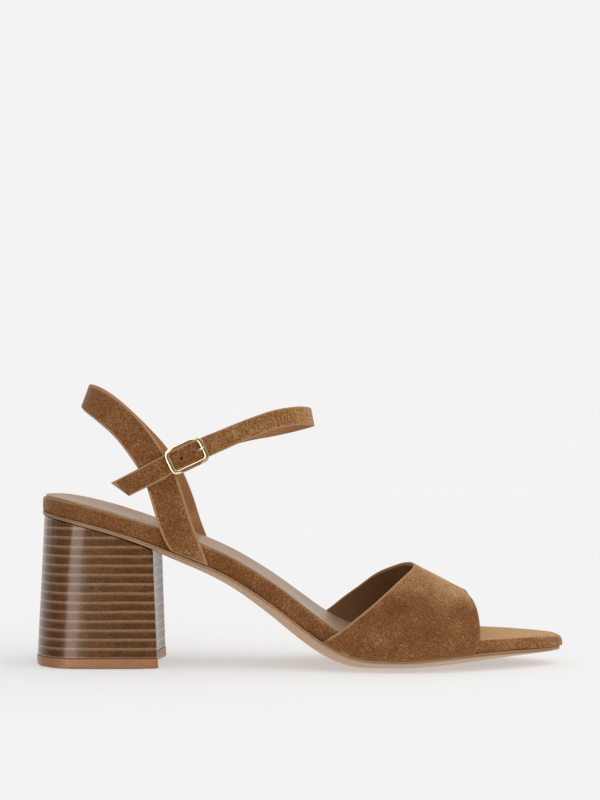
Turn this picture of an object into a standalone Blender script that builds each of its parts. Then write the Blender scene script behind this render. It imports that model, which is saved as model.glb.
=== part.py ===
"""Block heel sandal, right shoe: +X to the toe, +Y to the inner side, +Z up, metres."""
import math

import bmesh
import bpy
from mathutils import Matrix, Vector

# Sizes of the sole, all at real size
SOLE_LENGTH = 0.2398
SEAT_BACK = -0.025
BALL_WIDTH = 0.0756
HEEL_RISE = 0.0645
RIM_HEIGHT = 0.0086
DOME_DEPTH = 0.0065
DISH_DEPTH = 0.0018
SEAT_CAP = 0.025
TOE_CAP = 0.034
LEDGE = 0.0016
EDGE_HEIGHT = 0.0017
EDGE_ROUND = 0.00035
BALL_DROP = 0.0039
SOCK_THICKNESS = 0.0008
SOCK_INSET = 0.0013
SOCK_REACH = 0.174
RIM_ROUND = 0.0012
GAP = 0.0003

# How the outline differs at its ends: ledge and rounding there as shares of those along the sides,
# and how much taller the wrapped rim's rounding grows from a place along the sole to the toe
HEEL_LEDGE_SHARE = 0.0
TOE_LEDGE_SHARE = -0.8
HEEL_ROUND_SHARE = 1.2
TOE_ROUND_SHARE = 3.2
SOFT_TOE_START = 0.86
SOFT_TOE_SHARE = 1.5

# Sizes of the heel
HEEL_BACK = -0.0274
HEEL_LENGTH = 0.058
HEEL_WIDTH = 0.052
HEEL_TOP_INSET = 0.001
HEEL_TOP_LENGTH = 0.0519
HEEL_ROUND = 0.021
HEEL_CORNER = 0.0012
BREAST_HOLLOW = 0.0028
TIP_HEIGHT = 0.0047
TIP_ROUND = 0.0006

# Sizes of the straps, and how far the ankle strap leans back at the front as a share of its width
STRAP_WALL = 0.0015
VAMP_RISE = 0.0399
SLING_RISE = 0.0616
SLING_SPREAD = 0.056
ANKLE_WIDTH = 0.0085
ANKLE_REACH = 0.0554
ANKLE_LEAN = 0.20
ANKLE_SPREAD = SLING_SPREAD - STRAP_WALL
TAIL_CUT = 0.0046
HOLE_RADIUS = 0.00085
HOLE_PITCH = 0.0076
TAB_WALL = 0.001
TAB_WIDTH = 0.0066
TAB_LENGTH = 0.013

# Sizes of the buckle, its place as a share of the sole length, and the turns of the hooks in degrees
BUCKLE_PLACE = 0.2854
BUCKLE_RISE = 0.0310
BUCKLE_LENGTH = 0.0187
BUCKLE_WIDTH = 0.0126
BUCKLE_BAR = 0.0020
BUCKLE_THICKNESS = 0.0014
BUCKLE_CORNER = 0.0035
BUCKLE_BEVEL = 0.0003
CENTRE_BAR_RADIUS = 0.0006
PRONG_RADIUS = 0.0007
PRONG_HOLE_REACH = 0.0050
PRONG_WRAP = (-60.0, -270.0)
TAB_WRAP = (-105.0, 120.0)

# Sole stations: place along the sole, half width and swing to the inner side as shares of the ball width,
# feather line height as a share of the heel rise, and rim, dome and dish as shares of their sizes
SOLE_COLUMNS = ("place", "half", "swing", "rise", "rim", "dome", "dish")
SOLE_TABLE = (
    (0.000, 0.370, 0.000, 1.000, 0.93, 0.00, 0.00),
    (0.042, 0.370, 0.000, 0.975, 1.00, 0.05, 0.55),
    (0.113, 0.370, -0.003, 0.914, 1.00, 0.12, 1.00),
    (0.176, 0.360, -0.006, 0.843, 1.02, 0.22, 0.95),
    (0.248, 0.341, -0.011, 0.744, 1.07, 0.40, 0.80),
    (0.353, 0.311, -0.020, 0.580, 1.13, 0.57, 0.55),
    (0.457, 0.323, -0.037, 0.335, 1.23, 0.90, 0.45),
    (0.499, 0.345, -0.042, 0.214, 1.25, 1.00, 0.50),
    (0.541, 0.378, -0.042, 0.110, 1.17, 0.96, 0.60),
    (0.583, 0.423, -0.034, 0.030, 1.08, 0.82, 0.65),
    (0.625, 0.463, -0.024, 0.002, 0.98, 0.65, 0.65),
    (0.697, 0.500, -0.008, 0.000, 0.88, 0.62, 0.60),
    (0.772, 0.472, 0.001, 0.023, 0.77, 0.66, 0.40),
    (0.848, 0.374, 0.007, 0.039, 0.70, 0.50, 0.20),
    (0.908, 0.292, 0.013, 0.043, 0.68, 0.29, 0.08),
    (1.000, 0.222, 0.020, 0.043, 0.63, 0.00, 0.00),
)
CAP_STEPS = 6
MIDDLE_STEPS = 28

# Vamp rows from the feather line up to the crest: spread as a share of the sole's half width there,
# rear and front edges as places along the sole, and their heights over the feather line as shares of the vamp rise
VAMP_COLUMNS = ("spread", "rear_outer", "rear_inner", "rear_height", "front_place", "front_height")
VAMP_TABLE = (
    (1.000, 0.538, 0.509, 0.000, 0.820, 0.000),
    (1.000, 0.571, 0.547, 0.241, 0.830, 0.157),
    (0.930, 0.608, 0.576, 0.469, 0.830, 0.312),
    (0.790, 0.646, 0.609, 0.663, 0.827, 0.452),
    (0.580, 0.680, 0.642, 0.833, 0.820, 0.558),
    (0.310, 0.706, 0.679, 0.948, 0.812, 0.608),
    (0.150, 0.711, 0.694, 0.988, 0.809, 0.625),
    (0.000, 0.706, 0.706, 1.000, 0.808, 0.631),
)
VAMP_STEPS = 3
VAMP_CROSS = 13

# Sling rows from the middle of the back down to the feather line: front and back edges as places along the sole,
# spreads as shares of the sling spread, heights over the feather line as shares of the sling rise,
# and how far the inner side lies behind the outer one, as a share of the sole length
SLING_COLUMNS = ("front_place", "front_spread", "front_height", "back_place", "back_spread", "back_height", "lag")
SLING_TABLE = (
    (0.092, 0.000, 1.000, 0.076, 0.000, 0.822, 0.000),
    (0.104, 0.411, 1.008, 0.089, 0.429, 0.798, 0.012),
    (0.134, 0.679, 0.989, 0.116, 0.696, 0.752, 0.023),
    (0.169, 0.804, 0.935, 0.147, 0.821, 0.683, 0.028),
    (0.205, 0.854, 0.841, 0.169, 0.875, 0.608, 0.025),
    (0.234, 0.882, 0.727, 0.192, 0.911, 0.511, 0.012),
    (0.261, 0.911, 0.597, 0.207, 0.929, 0.419, 0.005),
    (0.279, 0.943, 0.430, 0.219, 0.957, 0.291, 0.000),
    (0.293, 0.965, 0.280, 0.232, 0.990, 0.146, 0.000),
    (0.307, 0.960, 0.159, 0.242, 1.000, 0.065, 0.000),
    (0.325, 0.955, 0.000, 0.254, 0.990, 0.000, 0.000),
)
SLING_FEET = 2
SLING_CROSS = (0.0, 0.35, 0.65, 1.0)
SLING_STEPS = 3

# Ankle strap rows from the tail to the seam on the inner side: place and height from the buckle's middle
# as shares of the reach, spread as a share of half the ankle spread, and width as a share of the strap's width
ANKLE_COLUMNS = ("place", "height", "spread", "width")
ANKLE_TABLE = (
    (-0.545, -0.275, 0.990, 1.06),
    (-0.365, -0.183, 1.000, 1.08),
    (-0.190, -0.092, 1.000, 1.10),
    (-0.095, -0.045, 1.000, 1.10),
    (0.000, 0.000, 1.000, 1.10),
    (0.095, 0.045, 1.000, 1.10),
    (0.190, 0.088, 1.000, 1.08),
    (0.295, 0.132, 0.975, 1.05),
    (0.422, 0.187, 0.935, 1.02),
    (0.580, 0.249, 0.866, 1.00),
    (0.738, 0.299, 0.740, 1.00),
    (0.897, 0.320, 0.500, 1.00),
    (0.970, 0.315, 0.290, 1.00),
    (1.000, 0.306, 0.000, 1.00),
    (0.977, 0.296, -0.260, 1.00),
    (0.911, 0.276, -0.470, 1.00),
    (0.806, 0.248, -0.660, 1.00),
    (0.635, 0.211, -0.820, 1.00),
    (0.466, 0.180, -0.900, 1.00),
    (0.260, 0.124, -0.940, 1.00),
    (0.046, 0.020, -0.955, 1.00),
    (-0.149, -0.074, -0.955, 1.00),
    (-0.300, -0.147, -0.955, 1.00),
)
ANKLE_CROSS = (-1.0, -0.4, 0.4, 1.0)
ANKLE_STEPS = 3
ANKLE_SLOPE = math.atan2(0.045, 0.095)


def clear_scene():
    for item in list(bpy.data.objects):
        bpy.data.objects.remove(item, do_unlink=True)


def make_collection(name):
    group = bpy.data.collections.new(name)
    bpy.context.scene.collection.children.link(group)
    return group


def make_material(name, colour, roughness, metallic=0.0):
    material = bpy.data.materials.new(name)
    material.use_nodes = True
    shader = material.node_tree.nodes["Principled BSDF"]
    shader.inputs["Base Color"].default_value = (*colour, 1.0)
    shader.inputs["Roughness"].default_value = roughness
    shader.inputs["Metallic"].default_value = metallic
    return material


def brown_suede():
    return make_material("brown suede", (0.223, 0.102, 0.038), 0.95)


def taupe_lining():
    return make_material("taupe lining", (0.340, 0.262, 0.180), 0.55)


def tan_rubber():
    return make_material("tan rubber", (0.445, 0.262, 0.150), 0.60)


def dark_stack():
    return make_material("dark stacked heel", (0.080, 0.035, 0.014), 0.25)


def pale_gold():
    return make_material("pale gold", (0.800, 0.620, 0.360), 0.25, 1.0)


def mesh_object(name, group, material, vertices, faces):
    mesh = bpy.data.meshes.new(name)
    mesh.from_pydata(vertices, [], faces)
    work = bmesh.new()
    work.from_mesh(mesh)
    bmesh.ops.remove_doubles(work, verts=work.verts, dist=0.00002)
    bmesh.ops.dissolve_degenerate(work, edges=work.edges, dist=0.000001)
    bmesh.ops.recalc_face_normals(work, faces=work.faces)
    work.to_mesh(mesh)
    work.free()
    item = bpy.data.objects.new(name, mesh)
    group.objects.link(item)
    if material:
        mesh.materials.append(material)
    mesh.shade_smooth()
    mesh.set_sharp_from_angle(angle=math.radians(40))
    return item


def loft(name, group, material, sections, close_ends=False):
    """Closed sections joined one to the next; sections at pointed ends shrink to a line."""
    count = len(sections[0])
    vertices = [point for section in sections for point in section]
    faces = []
    for row in range(len(sections) - 1):
        for step in range(count):
            ahead = (step + 1) % count
            low = row * count
            high = low + count
            faces.append((low + step, low + ahead, high + ahead, high + step))
    if close_ends:
        last = (len(sections) - 1) * count
        faces.append(tuple(range(count)))
        faces.append(tuple(last + step for step in range(count)))
    return mesh_object(name, group, material, vertices, faces)


def ribbon(name, group, material, rows, wall):
    """An open surface through rows of points, given its wall by Solidify."""
    count = len(rows[0])
    vertices = [point for row in rows for point in row]
    faces = []
    for row in range(len(rows) - 1):
        for step in range(count - 1):
            low = row * count + step
            high = low + count
            faces.append((low, low + 1, high + 1, high))
    item = mesh_object(name, group, material, vertices, faces)
    shell = item.modifiers.new("wall", "SOLIDIFY")
    shell.thickness = wall
    shell.offset = 0.0
    shell.use_even_offset = True
    return item


def as_cutter(item):
    item.hide_render = True
    item.display_type = "WIRE"


def cut(item, cutter, operation="DIFFERENCE"):
    boolean = item.modifiers.new(cutter.name, "BOOLEAN")
    boolean.operation = operation
    boolean.object = cutter
    boolean.solver = "EXACT"
    as_cutter(cutter)


def slope_at(places, values, index):
    """Slope of a smooth curve through the values that never overshoots them."""
    if index in (0, len(places) - 1):
        return 0.0 if index == 0 else (values[-1] - values[-2]) / (places[-1] - places[-2])
    before = (values[index] - values[index - 1]) / (places[index] - places[index - 1])
    after = (values[index + 1] - values[index]) / (places[index + 1] - places[index])
    if before * after <= 0.0:
        return 0.0
    return 2.0 * before * after / (before + after)


def read_column(column, place):
    """A sole column at any place along the sole."""
    index = SOLE_COLUMNS.index(column)
    places = [row[0] for row in SOLE_TABLE]
    values = [row[index] for row in SOLE_TABLE]
    place = min(max(place, 0.0), 1.0)
    row = max(i for i in range(len(places) - 1) if places[i] <= place)
    width = places[row + 1] - places[row]
    share = (place - places[row]) / width
    start = slope_at(places, values, row) * width
    end = slope_at(places, values, row + 1) * width
    drop = values[row] - values[row + 1]
    square = share * share
    cube = square * share
    return values[row] + start * (share - 2 * square + cube) + end * (cube - square) - drop * (3 * square - 2 * cube)


def place_of(x):
    return (x - SEAT_BACK) / SOLE_LENGTH


def x_of(place):
    return SEAT_BACK + place * SOLE_LENGTH


def feather(x):
    """Height of the line where the footbed meets the outsole."""
    return BALL_DROP + EDGE_HEIGHT + read_column("rise", place_of(x)) * HEEL_RISE


def rim_top(x):
    return feather(x) + read_column("rim", place_of(x)) * RIM_HEIGHT


def swing(x):
    return read_column("swing", place_of(x)) * BALL_WIDTH


def end_growth(grow, ledge_share, round_share):
    """How far an outline grown or shrunk all round reaches at one end of the sole."""
    if grow > 0.0:
        return grow + (ledge_share - 1.0) * LEDGE
    return grow * round_share


def heel_growth(grow):
    return end_growth(grow, HEEL_LEDGE_SHARE, HEEL_ROUND_SHARE)


def toe_growth(grow):
    return end_growth(grow, TOE_LEDGE_SHARE, TOE_ROUND_SHARE)


def half_width(x, grow=0.0):
    """Half width of the footbed's outline, grown or shrunk all round."""
    width = read_column("half", place_of(x)) * BALL_WIDTH + grow
    seat = SEAT_CAP + heel_growth(grow)
    toe = TOE_CAP + toe_growth(grow)
    from_heel = (x - SEAT_BACK - SEAT_CAP + seat) / seat
    from_toe = (x_of(1.0) - TOE_CAP - x + toe) / toe
    for share in (from_heel, from_toe):
        if share < 1.0:
            width *= math.sqrt(max(0.0, 1.0 - (1.0 - share) ** 2))
    return width


def stations(grow):
    """Places along X, close together at the round ends."""
    seat = SEAT_CAP + heel_growth(grow)
    toe = TOE_CAP + toe_growth(grow)
    first = SEAT_BACK + SEAT_CAP
    last = x_of(1.0) - TOE_CAP
    quarter = [1.0 - math.cos(0.5 * math.pi * step / CAP_STEPS) for step in range(CAP_STEPS)]
    start = [first - seat + seat * share for share in quarter]
    end = [last + toe - toe * share for share in reversed(quarter)]
    middle = [first + (last - first) * step / MIDDLE_STEPS for step in range(MIDDLE_STEPS + 1)]
    return start + middle + end


def sock_rows():
    """How many stations the sock covers, from the heel to its front edge under the vamp."""
    return sum(1 for x in stations(0.0) if x <= SEAT_BACK + SOCK_REACH)


def sole_sections(layers):
    """Rings round the sole: each layer has an even growth, a share of the way out and a height function."""
    sections = []
    total = len(stations(0.0))
    for index in range(total):
        outer = []
        inner = []
        for grow, share, height in layers:
            x = stations(grow)[index]
            reach = half_width(x, grow) * share
            if index in (0, total - 1):
                reach = 0.0
            z = height(x, share, index)
            outer.append(Vector((x, swing(x) - reach, z)))
            inner.append(Vector((x, swing(x) + reach, z)))
        sections.append(outer + list(reversed(inner)))
    return sections


def dome_height(x, share):
    drop = read_column("dome", place_of(x)) * DOME_DEPTH * (1.0 - share ** 4)
    return max(0.0, feather(x) - EDGE_HEIGHT - drop)


def dish_height(x, share):
    return rim_top(x) - read_column("dish", place_of(x)) * DISH_DEPTH * (1.0 - share ** 2)


def outsole_layers(grow=0.0, lower=0.0, top=-0.5 * GAP):
    edge = LEDGE + grow
    return (
        (edge - EDGE_ROUND, 0.00, lambda x, share, i: dome_height(x, share) - lower),
        (edge - EDGE_ROUND, 0.35, lambda x, share, i: dome_height(x, share) - lower),
        (edge - EDGE_ROUND, 0.62, lambda x, share, i: dome_height(x, share) - lower),
        (edge - EDGE_ROUND, 0.84, lambda x, share, i: dome_height(x, share) - lower),
        (edge - EDGE_ROUND, 1.00, lambda x, share, i: dome_height(x, share) - lower),
        (edge, 1.00, lambda x, share, i: feather(x) - EDGE_HEIGHT + EDGE_ROUND - lower),
        (edge, 1.00, lambda x, share, i: feather(x) + top),
        (edge, 0.00, lambda x, share, i: feather(x) + top),
    )


def make_outsole(group):
    return loft("outsole", group, tan_rubber(), sole_sections(outsole_layers()))


def rim_fall(x):
    """Height of the wrapped rim's rounding, tallest at the toe."""
    near = max(0.0, (place_of(x) - SOFT_TOE_START) / (1.0 - SOFT_TOE_START))
    return RIM_ROUND * (1.0 + SOFT_TOE_SHARE * near)


def make_footbed(group):
    """The wrapped platform, lower where the sock lies on it."""
    covered = sock_rows()
    sunk = SOCK_THICKNESS + GAP

    def top(x, share, index):
        return dish_height(x, share) - (sunk if index < covered else 0.0)

    layers = (
        (-EDGE_ROUND, 0.00, lambda x, share, i: feather(x) + 0.5 * GAP),
        (-EDGE_ROUND, 1.00, lambda x, share, i: feather(x) + 0.5 * GAP),
        (0.0, 1.00, lambda x, share, i: feather(x) + 0.5 * GAP + EDGE_ROUND),
        (0.0, 1.00, lambda x, share, i: top(x, share, i) - rim_fall(x)),
        (-0.3 * RIM_ROUND, 1.00, lambda x, share, i: top(x, share, i) - 0.3 * rim_fall(x)),
        (-RIM_ROUND, 1.00, top),
        (-RIM_ROUND, 0.80, top),
        (-RIM_ROUND, 0.45, top),
        (-RIM_ROUND, 0.00, top),
    )
    return loft("footbed", group, brown_suede(), sole_sections(layers))


def make_sock(group):
    edge = -SOCK_INSET
    bevel = 0.3 * SOCK_THICKNESS
    layers = (
        (edge, 0.00, lambda x, share, i: dish_height(x, share) - SOCK_THICKNESS),
        (edge, 0.45, lambda x, share, i: dish_height(x, share) - SOCK_THICKNESS),
        (edge, 0.80, lambda x, share, i: dish_height(x, share) - SOCK_THICKNESS),
        (edge, 1.00, lambda x, share, i: dish_height(x, share) - SOCK_THICKNESS),
        (edge, 1.00, lambda x, share, i: dish_height(x, share) - bevel),
        (edge - bevel, 1.00, dish_rim),
        (edge - bevel, 0.80, dish_rim),
        (edge - bevel, 0.45, dish_rim),
        (edge - bevel, 0.00, dish_rim),
    )
    sections = sole_sections(layers)[:sock_rows()]
    item = loft("insole_sock", group, taupe_lining(), sections)
    return close_front(item)


def dish_rim(x, share, index):
    return dish_height(x, share)


def close_front(item):
    """The sock's straight front edge is the one opening of its loft."""
    work = bmesh.new()
    work.from_mesh(item.data)
    bmesh.ops.holes_fill(work, edges=work.edges, sides=0)
    bmesh.ops.recalc_face_normals(work, faces=work.faces)
    work.to_mesh(item.data)
    work.free()
    return item


def heel_section(height, grow=0.0):
    """D-shaped plan of the heel at a height: rounded back, nearly flat sides, hollow breast."""
    share = height / feather(0.0)
    seat = half_width(SEAT_CAP + SEAT_BACK) + LEDGE - HEEL_TOP_INSET
    half = (1.0 - share) * 0.5 * HEEL_WIDTH + share * seat + grow
    top_back = SEAT_BACK - heel_growth(LEDGE) + HEEL_TOP_INSET
    back = (1.0 - share) * HEEL_BACK + share * top_back - grow
    front = (1.0 - share) * (HEEL_BACK + HEEL_LENGTH) + share * (top_back + HEEL_TOP_LENGTH) + grow
    corner = half * 0.95
    middle = back + HEEL_ROUND
    side = []
    for step in range(4):
        x = front - HEEL_CORNER + (middle - front + HEEL_CORNER) * step / 4
        along = (x - middle) / (front - middle)
        side.append((x, half - (half - corner) * along ** 2))
    for step in range(9):
        angle = 0.5 * math.pi * step / 8
        side.append((middle - HEEL_ROUND * math.sin(angle) ** 0.95, half * math.cos(angle) ** 0.9 if step < 8 else 0.0))
    breast = []
    for step in range(6):
        y = (corner - HEEL_CORNER) * step / 5
        breast.append((front - BREAST_HOLLOW * (1.0 - (y / corner) ** 2), y))
    half_ring = breast + side
    ring = half_ring + [(x, -y) for x, y in reversed(half_ring[1:-1])]
    return [Vector((x, y, height)) for x, y in ring]


def make_heel(group, cutters):
    low = TIP_HEIGHT + GAP
    high = BALL_DROP + EDGE_HEIGHT + HEEL_RISE
    sections = [heel_section(low), heel_section(0.5 * (low + high)), heel_section(high)]
    heel = loft("heel_block", group, dark_stack(), sections, close_ends=True)
    seat = loft("seat_cutter", cutters, None, sole_sections(outsole_layers(3.0 * LEDGE, GAP, HEEL_RISE)))
    cut(heel, seat)
    return heel


def make_heel_tip(group):
    base = heel_section(0.0, -TIP_ROUND)
    low = [Vector((p.x, p.y, TIP_ROUND)) for p in heel_section(0.0)]
    high = [Vector((p.x, p.y, TIP_HEIGHT)) for p in heel_section(0.0)]
    return loft("heel_tip", group, tan_rubber(), [base, low, high], close_ends=True)


def through(rows, steps):
    """Rows of numbers with smooth ones put between them."""
    result = []
    for index in range(len(rows) - 1):
        before = rows[max(index - 1, 0)]
        start = rows[index]
        end = rows[index + 1]
        after = rows[min(index + 2, len(rows) - 1)]
        for step in range(steps):
            t = step / steps
            row = []
            for a, b, c, d in zip(before, start, end, after):
                row.append(0.5 * (2 * b + (c - a) * t + (2 * a - 5 * b + 4 * c - d) * t ** 2
                                  + (3 * b - a - 3 * c + d) * t ** 3))
            result.append(tuple(row))
    result.append(tuple(rows[-1]))
    return result


def vamp_lines():
    """Rows round the vamp from the outer foot over the crest to the inner foot, spread negative on the outer side."""
    outer = []
    inner = []
    for values in VAMP_TABLE:
        row = dict(zip(VAMP_COLUMNS, values))
        ends = (row["rear_height"], row["front_place"], row["front_height"])
        outer.append((-row["spread"], row["rear_outer"], *ends))
        inner.append((row["spread"], row["rear_inner"], *ends))
    return through(outer + list(reversed(inner[:-1])), VAMP_STEPS)


def vamp_row(line):
    """One line of points across the vamp, from its rear edge to its front edge."""
    spread, rear_place, rear_height, front_place, front_height = line
    points = []
    for step in range(VAMP_CROSS):
        share = step / (VAMP_CROSS - 1)
        x = x_of(rear_place + (front_place - rear_place) * share)
        rise = rear_height + (front_height - rear_height) * share
        reach = half_width(x) + GAP + 0.5 * STRAP_WALL
        y = swing(x) * abs(spread) + reach * spread
        points.append(Vector((x, y, feather(x) + GAP + rise * VAMP_RISE)))
    return points


def make_vamp(group):
    rows = [vamp_row(line) for line in vamp_lines()]
    return ribbon("vamp_strap", group, brown_suede(), rows, STRAP_WALL)


def sling_lines():
    """Rows round the sling from the outer foot to the inner foot, spread negative on the outer side."""
    outer = []
    inner = []
    for values in SLING_TABLE:
        row = dict(zip(SLING_COLUMNS, values))
        front = (row["front_place"], row["front_spread"], row["front_height"])
        back = (row["back_place"], row["back_spread"], row["back_height"])
        outer.append((front[0], -front[1], front[2], back[0], -back[1], back[2]))
        inner.append((front[0] - row["lag"], *front[1:], back[0] - row["lag"], *back[1:]))
    return through(list(reversed(outer)) + inner[1:], SLING_STEPS)


def sling_row(line, at_foot):
    """One line of points across the sling, from its front edge to its back edge."""
    front = line[:3]
    back = line[3:]
    points = []
    for share in SLING_CROSS:
        place, spread, rise = (start + (end - start) * share for start, end in zip(front, back))
        x = x_of(place)
        y = spread * 0.5 * SLING_SPREAD
        if at_foot:
            y = swing(x) + math.copysign(half_width(x) + GAP + 0.5 * STRAP_WALL, spread)
        points.append(Vector((x, y, feather(x) + GAP + rise * SLING_RISE)))
    return points


def make_sling(group):
    lines = sling_lines()
    foot = SLING_FEET * SLING_STEPS
    rows = []
    for index, line in enumerate(lines):
        at_foot = index < foot or index >= len(lines) - foot
        rows.append(sling_row(line, at_foot))
    return ribbon("heel_and_ankle_strap", group, brown_suede(), rows, STRAP_WALL)


def buckle_middle():
    """Middle of the strap under the buckle, on the outer side."""
    x = x_of(BUCKLE_PLACE)
    z = feather(0.0) + BUCKLE_RISE
    return Vector((x, -0.5 * ANKLE_SPREAD, z))


def buckle_frame_axes():
    """Matrix of the buckle's own axes: X along the strap, Y across it, Z out of the shoe."""
    along = Vector((math.cos(ANKLE_SLOPE), 0.0, math.sin(ANKLE_SLOPE)))
    out = Vector((0.0, -1.0, 0.0))
    across = out.cross(along)
    lift = 0.5 * STRAP_WALL + GAP + 0.5 * BUCKLE_THICKNESS
    turn = Matrix((along, across, out)).transposed().to_4x4()
    return Matrix.Translation(buckle_middle() + out * lift) @ turn


def ankle_rows():
    """Lines of points across the ankle strap, from its lower to its upper edge."""
    middle = buckle_middle()
    points = []
    widths = []
    for values in through(ANKLE_TABLE, ANKLE_STEPS):
        row = dict(zip(ANKLE_COLUMNS, values))
        x = middle.x + row["place"] * ANKLE_REACH
        z = middle.z + row["height"] * ANKLE_REACH
        points.append(Vector((x, -row["spread"] * 0.5 * ANKLE_SPREAD, z)))
        widths.append(row["width"] * ANKLE_WIDTH)
    rows = []
    for index, point in enumerate(points):
        before = points[max(index - 1, 0)]
        after = points[min(index + 1, len(points) - 1)]
        along = (after - before).normalized()
        outward = Vector((along.y, -along.x, 0.0)).normalized()
        lean_back = outward * ANKLE_LEAN * max(0.0, outward.x)
        across = (outward.cross(along).normalized() - lean_back).normalized() * 0.5 * widths[index]
        lean = along * (0.5 * TAIL_CUT if index == 0 else 0.0)
        rows.append([point + (across - lean) * share for share in ANKLE_CROSS])
    return rows


def make_ankle(cutters):
    return ribbon("ankle_strap", cutters, None, ankle_rows(), STRAP_WALL)


def centre_bar_depth():
    """How far the centre bar lies inside the frame's middle plane."""
    strap = 0.5 * BUCKLE_THICKNESS + GAP + STRAP_WALL
    prong = GAP + CENTRE_BAR_RADIUS + GAP + 2.0 * PRONG_RADIUS
    return strap + prong


def hook_points(radius, turn, steps):
    """Arc round the centre bar in the buckle's own axes, angles from the strap's direction."""
    start, end = turn
    depth = centre_bar_depth()
    points = []
    for step in range(steps + 1):
        angle = math.radians(start + (end - start) * step / steps)
        points.append(Vector((radius * math.cos(angle), 0.0, radius * math.sin(angle) - depth)))
    return points


def make_tab(cutters):
    """Short tab from the sling's front edge, folded round the centre bar."""
    radius = CENTRE_BAR_RADIUS + GAP + 0.5 * TAB_WALL
    depth = centre_bar_depth()
    sling = 0.5 * SLING_SPREAD * 0.89
    wall_depth = 0.5 * ANKLE_SPREAD + 0.5 * STRAP_WALL + GAP + 0.5 * BUCKLE_THICKNESS - sling
    path = [
        Vector((-TAB_LENGTH, 0.0, -wall_depth)),
        Vector((-0.75 * TAB_LENGTH, 0.0, -wall_depth)),
        Vector((-0.40 * TAB_LENGTH, 0.0, -0.25 * wall_depth - 0.75 * (depth + radius))),
    ]
    path += hook_points(radius, TAB_WRAP, 9)
    path.append(path[-1] + Vector((-0.6 * radius, 0.0, -0.2 * radius)))
    across = Vector((0.0, 0.5 * TAB_WIDTH, 0.0))
    rows = [[point - across, point, point + across] for point in path]
    axes = buckle_frame_axes()
    rows = [[axes @ point for point in row] for row in rows]
    return ribbon("buckle_tab", cutters, None, rows, TAB_WALL)


def make_tab_slot(cutters):
    """Room in the tab's fold for the prong's ring."""
    width = 2.0 * (PRONG_RADIUS + GAP)
    reach = 2.0 * (CENTRE_BAR_RADIUS + GAP + max(2.0 * PRONG_RADIUS, TAB_WALL) + GAP)
    place = buckle_frame_axes() @ Matrix.Translation((0.0, 0.0, -centre_bar_depth()))
    bpy.ops.mesh.primitive_cube_add(size=1.0)
    slot = bpy.context.object
    slot.name = "tab_slot"
    slot.data.transform(Matrix.Diagonal((reach, width, reach, 1.0)))
    slot.matrix_world = place
    for group in list(slot.users_collection):
        group.objects.unlink(slot)
    cutters.objects.link(slot)
    return slot


def make_hole(cutters, index):
    """A strap hole; the one that takes the prong is longer."""
    reach = PRONG_HOLE_REACH + HOLE_PITCH * index
    stretch = 2.4 if index == 0 else 1.0
    bpy.ops.mesh.primitive_cylinder_add(vertices=12, radius=HOLE_RADIUS, depth=4.0 * STRAP_WALL)
    hole = bpy.context.object
    hole.name = "strap_hole_" + str(index + 1)
    hole.data.transform(Matrix.Diagonal((stretch, 1.0, 1.0, 1.0)) @ Matrix.Rotation(math.radians(15), 4, "Z"))
    lift = 0.5 * (STRAP_WALL + BUCKLE_THICKNESS) + GAP
    hole.matrix_world = buckle_frame_axes() @ Matrix.Translation((reach, 0.0, -lift))
    for group in list(hole.users_collection):
        group.objects.unlink(hole)
    cutters.objects.link(hole)
    return hole


def make_heel_and_ankle_strap(group, cutters):
    strap = make_sling(group)
    ankle = make_ankle(cutters)
    tab = make_tab(cutters)
    cut(tab, make_tab_slot(cutters))
    for index in (-1, 0, 1, 2):
        cut(ankle, make_hole(cutters, index))
    cut(strap, ankle, "UNION")
    cut(strap, tab, "UNION")
    return strap


def mesh_from_curve(name, group, material, curve):
    """A curve's solid as a mesh object, its caps welded."""
    guide = bpy.data.objects.new(name + "_guide", curve)
    group.objects.link(guide)
    bpy.context.view_layer.update()
    graph = bpy.context.evaluated_depsgraph_get()
    mesh = bpy.data.meshes.new_from_object(guide.evaluated_get(graph))
    bpy.data.objects.remove(guide, do_unlink=True)
    work = bmesh.new()
    work.from_mesh(mesh)
    bmesh.ops.remove_doubles(work, verts=work.verts, dist=0.00001)
    bmesh.ops.recalc_face_normals(work, faces=work.faces)
    work.to_mesh(mesh)
    work.free()
    mesh.name = name
    mesh.materials.clear()
    if material:
        mesh.materials.append(material)
    item = bpy.data.objects.new(name, mesh)
    group.objects.link(item)
    return item


def add_outline(curve, length, width, corner):
    """A closed rounded rectangle as a poly spline."""
    spline = curve.splines.new("POLY")
    points = []
    for turn, (side_x, side_y) in enumerate(((1, 1), (-1, 1), (-1, -1), (1, -1))):
        for step in range(5):
            angle = 0.5 * math.pi * (turn + step / 4)
            x = side_x * (0.5 * length - corner) + corner * math.cos(angle)
            y = side_y * (0.5 * width - corner) + corner * math.sin(angle)
            points.append((x, y))
    spline.points.add(len(points) - 1)
    for target, (x, y) in zip(spline.points, points):
        target.co = (x, y, 0.0, 1.0)
    spline.use_cyclic_u = True


def wire(name, group, material, points, radius):
    curve = bpy.data.curves.new(name, "CURVE")
    curve.dimensions = "3D"
    curve.bevel_depth = radius
    curve.bevel_resolution = 2
    curve.use_fill_caps = True
    spline = curve.splines.new("POLY")
    spline.points.add(len(points) - 1)
    for target, point in zip(spline.points, points):
        target.co = (*point, 1.0)
    return mesh_from_curve(name, group, material, curve)


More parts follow.
